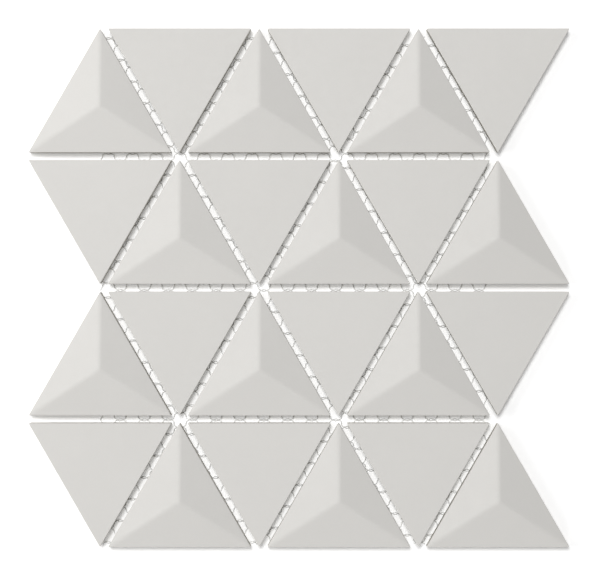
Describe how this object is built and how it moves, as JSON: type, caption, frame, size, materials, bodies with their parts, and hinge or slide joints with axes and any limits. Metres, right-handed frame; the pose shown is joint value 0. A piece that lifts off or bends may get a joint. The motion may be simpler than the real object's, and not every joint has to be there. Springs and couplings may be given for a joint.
{
  "type": "pyramid mosaic tile sheet",
  "caption": "Sheet of triangular ceramic wall tiles, raised three-sided pyramids by turns with flat triangles, held with even joints on a white hexagonal backing net.",
  "frame": {"origin": "middle of the sheet's box, on the underside of the backing net", "axes": "+X along the rows of tiles, +Y up the sheet as the picture shows it, +Z out of the tile faces"},
  "size_m": [0.2642, 0.2536, 0.011],
  "materials": {
    "pyramid_tile": "satin glaze",
    "flat_tile": "satin glaze",
    "backing_net": "matt"
  },
  "bodies": {
    "root": {"pyramid_tile_1_1": "pyramid_tile", "flat_tile_1_2": "flat_tile", "pyramid_tile_1_3": "pyramid_tile", "flat_tile_1_4": "flat_tile", "pyramid_tile_1_5": "pyramid_tile", "flat_tile_1_6": "flat_tile", "flat_tile_2_1": "flat_tile", "pyramid_tile_2_2": "pyramid_tile", "flat_tile_2_3": "flat_tile", "pyramid_tile_2_4": "pyramid_tile", "flat_tile_2_5": "flat_tile", "pyramid_tile_2_6": "pyramid_tile", "pyramid_tile_3_1": "pyramid_tile", "flat_tile_3_2": "flat_tile", "pyramid_tile_3_3": "pyramid_tile", "flat_tile_3_4": "flat_tile", "pyramid_tile_3_5": "pyramid_tile", "flat_tile_3_6": "flat_tile", "flat_tile_4_1": "flat_tile", "pyramid_tile_4_2": "pyramid_tile", "flat_tile_4_3": "flat_tile", "pyramid_tile_4_4": "pyramid_tile", "flat_tile_4_5": "flat_tile", "pyramid_tile_4_6": "pyramid_tile", "backing_net_1": "backing_net", "backing_net_2": "backing_net", "backing_net_3": "backing_net", "backing_net_4": "backing_net", "backing_net_5": "backing_net", "backing_net_6": "backing_net", "backing_net_7": "backing_net", "backing_net_8": "backing_net"}
  },
  "joints": []
}
